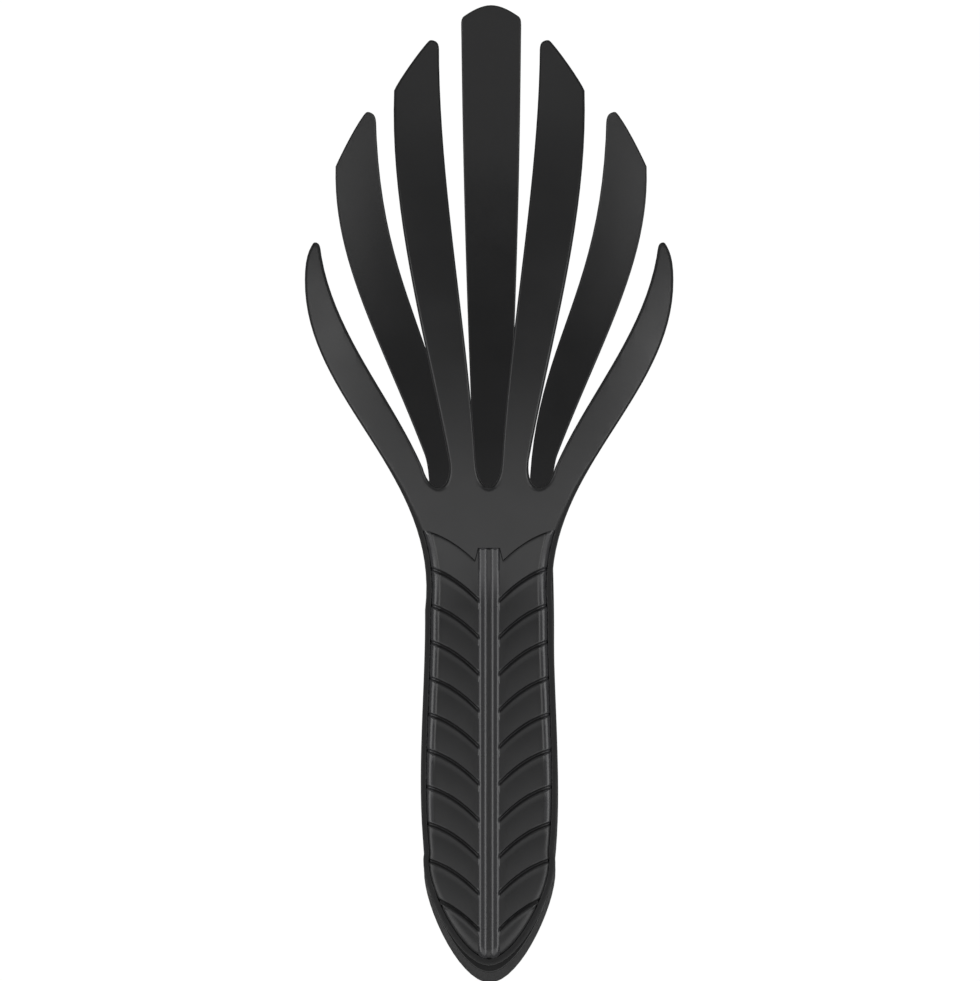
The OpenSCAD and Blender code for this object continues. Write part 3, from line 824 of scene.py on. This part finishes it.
def buildSpring():
    q = springSizes
    reach = math.hypot(q["legY"], q["legZ"])
    legAngle = math.atan2(q["legZ"], q["legY"]) + s["openAngle"] / 2
    leave = legAngle + math.acos(q["radius"] / reach)
    turn = 2 * math.pi * (q["turns"] + 1) - 2 * leave
    steps = round(turn / (2 * math.pi) * q["aroundTurn"])
    path = [Vector((-q["legX"], reach * math.cos(-legAngle), reach * math.sin(-legAngle)))]
    coil = []
    for i in range(steps + 1):
        share = i / steps
        angle = -leave - share * turn
        coil.append(Vector(((2 * share - 1) * q["legX"], q["radius"] * math.cos(angle), q["radius"] * math.sin(angle))))
    end = Vector((q["legX"], reach * math.cos(legAngle), reach * math.sin(legAngle)))
    legSteps = 12
    legIn = [path[0].lerp(coil[0], k / legSteps) for k in range(legSteps)]
    legOut = [coil[-1].lerp(end, k / legSteps) for k in range(1, legSteps + 1)]
    path = legIn + coil + legOut
    count = q["aroundWire"]
    deselect()
    bpy.ops.mesh.primitive_grid_add(x_subdivisions=len(path) - 1, y_subdivisions=count, size=2)
    spring = bpy.context.object
    spring.name = spring.data.name = "torsionSpring"
    for vertex in spring.data.vertices:
        i = round((vertex.co.x + 1) / 2 * (len(path) - 1))
        k = round((vertex.co.y + 1) / 2 * count) % count
        along = (path[min(i + 1, len(path) - 1)] - path[max(i - 1, 0)]).normalized()
        sideways = along.cross(Vector((1, 0, 0))).normalized()
        upright = along.cross(sideways)
        angle = 2 * math.pi * k / count
        vertex.co = path[i] + q["wire"] / 2 * (math.cos(angle) * sideways + math.sin(angle) * upright)
    pick(spring)
    bpy.ops.object.mode_set(mode="EDIT")
    bpy.ops.mesh.select_all(action="SELECT")
    bpy.ops.mesh.remove_doubles(threshold=0.0005)
    bpy.ops.mesh.select_mode(type="EDGE")
    bpy.ops.mesh.select_all(action="DESELECT")
    bpy.ops.mesh.select_non_manifold()
    bpy.ops.mesh.edge_face_add()
    bpy.ops.object.mode_set(mode="OBJECT")
    return spring


frontSide = handleSide(s["buttLength"]) + frontFlank()
backSide = handleSide(backLength) + backFlank()
frontHand = buildHand("frontHand", frontSide + frontTines(), frontFlank(), s["buttLength"], edgeSizes["frontToe"])
backHand = buildHand("backHand", backSide + backTines(), backFlank(), backLength, edgeSizes["backToe"])
finishHand(frontHand, frontSide, True)
finishHand(backHand, backSide, False)
print("hands", len(frontHand.data.polygons), len(backHand.data.polygons))
finishPiece(frontHand, frontPlace, nylon, "front_arm", "front_hand")
finishPiece(backHand, backPlace, nylon, "back_arm", "back_hand")

frontGrip = buildGrip("frontGrip", frontSide, edgeSizes["frontToe"])
backGrip = buildGrip("backGrip", backSide, edgeSizes["backToe"])
finishPiece(frontGrip, frontPlace, gripNylon, "front_arm", "front_grip")
finishPiece(backGrip, backPlace, gripNylon, "back_arm", "back_grip")
print("grips", len(frontGrip.data.polygons), len(backGrip.data.polygons))

spring = buildSpring()
spring.data.transform(springPlace)
pick(spring)
bpy.ops.object.mode_set(mode="EDIT")
outwards()
bpy.ops.object.mode_set(mode="OBJECT")
bpy.ops.object.shade_smooth_by_angle(angle=math.radians(50))
spring.data.materials.append(springWire)
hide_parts("torsion_spring")
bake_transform(spring)
print("spring", len(spring.data.polygons))

for nodeName, material in (("hinge_pin", steel), ("pin_caps", capNylon),
                           ("hinge_washers", steel), ("spring_sleeve", acetal)):
    node = frame["nodes"][nodeName]
    node.data.materials.clear()
    node.data.materials.append(material)

# the camera looks squarely at the front hand from far away
view = {
    "distance": 14.0, "width": 0.2952, "middleX": 0.33, "middleY": 116.0, "middleZ": 20.0,
    "turn": math.radians(0.45),
}
bpy.ops.object.camera_add()
camera = bpy.context.object
lookAt = Vector((view["middleX"], view["middleY"], view["middleZ"])) * mm
camera.matrix_world = (toHinge @ Matrix.Rotation(lean + s["openAngle"], 4, "X") @ Matrix.Translation(lookAt)
                       @ Matrix.Rotation(view["turn"], 4, "Y") @ Matrix.Translation((0, 0, view["distance"])))
camera.data.sensor_width = 36
camera.data.lens = 36 * view["distance"] / view["width"]
camera.data.clip_end = 100
bpy.context.scene.camera = camera
bpy.context.scene.view_settings.view_transform = "Standard"


def areaLamp(name, turn, tilt, distance, size, brightness):
    # a softbox seen from the palm at these angles off the camera's line: turn to the right, tilt towards the tips
    bpy.ops.object.light_add(type="AREA")
    lamp = bpy.context.object
    lamp.name = name
    lamp.data.shape = "RECTANGLE"
    lamp.data.size, lamp.data.size_y = size
    lamp.data.energy = brightness * math.pi * size[0] * size[1]
    turned = Matrix.Rotation(math.radians(turn), 4, "Y") @ Matrix.Rotation(math.radians(-tilt), 4, "X")
    lamp.matrix_world = (toHinge @ Matrix.Rotation(lean + s["openAngle"], 4, "X") @ Matrix.Translation(lookAt)
                         @ turned @ Matrix.Translation((0, 0, distance)))


# turn and tilt in degrees, distance and size in metres, brightness as radiance
studio = {
    "keySoftbox": (0, -33, 1.5, (2.2, 1.1), 1.2),
    "leftStrip": (-54, -8, 1.4, (0.6, 1.2), 3.0),
    "rightStrip": (54, -8, 1.4, (0.6, 1.2), 3.0),
    "tipSoftbox": (0, 62, 1.6, (2.0, 0.5), 0.9),
}
for lampName, values in studio.items():
    areaLamp(lampName, *values)

world = bpy.data.worlds.new("studio") if not bpy.data.worlds else bpy.data.worlds[0]
bpy.context.scene.world = world
world.use_nodes = True
world.node_tree.nodes.clear()
sky = addNode(world.node_tree, "ShaderNodeBackground", Color=srgb("#ffffff"), Strength=0.24)
backdrop = addNode(world.node_tree, "ShaderNodeBackground", Color=srgb("#ffffff"), Strength=1.0)
skyPath = addNode(world.node_tree, "ShaderNodeLightPath")
sight = addNode(world.node_tree, "ShaderNodeMixShader", i0=skyPath.outputs["Is Camera Ray"],
                i1=sky.outputs["Background"], i2=backdrop.outputs["Background"])
addNode(world.node_tree, "ShaderNodeOutputWorld", Surface=sight.outputs["Shader"])

deselect()
bpy.ops.mesh.primitive_plane_add(size=6, location=(0, 0, -0.0002))
floor = bpy.context.object
floor.name = "floor"
floorMaterial, floorTree = newMaterial("white paper sweep")
floorPath = addNode(floorTree, "ShaderNodeLightPath")
glow = addNode(floorTree, "ShaderNodeEmission", Color=srgb("#ffffff"), Strength=1.0)
paper = addNode(floorTree, "ShaderNodeBsdfDiffuse", Color=srgb("#2b2b2b"))
both = addNode(floorTree, "ShaderNodeAddShader", i0=glow.outputs["Emission"], i1=paper.outputs["BSDF"])
dull = addNode(floorTree, "ShaderNodeBsdfDiffuse", Color=srgb("#9a9a9a"))
seen = addNode(floorTree, "ShaderNodeMixShader", i0=floorPath.outputs["Is Camera Ray"],
               i1=dull.outputs["BSDF"], i2=both.outputs["Shader"])
addNode(floorTree, "ShaderNodeOutputMaterial", Surface=seen.outputs["Shader"])
floor.data.materials.append(floorMaterial)
print("studio", len(studio), "lamps")
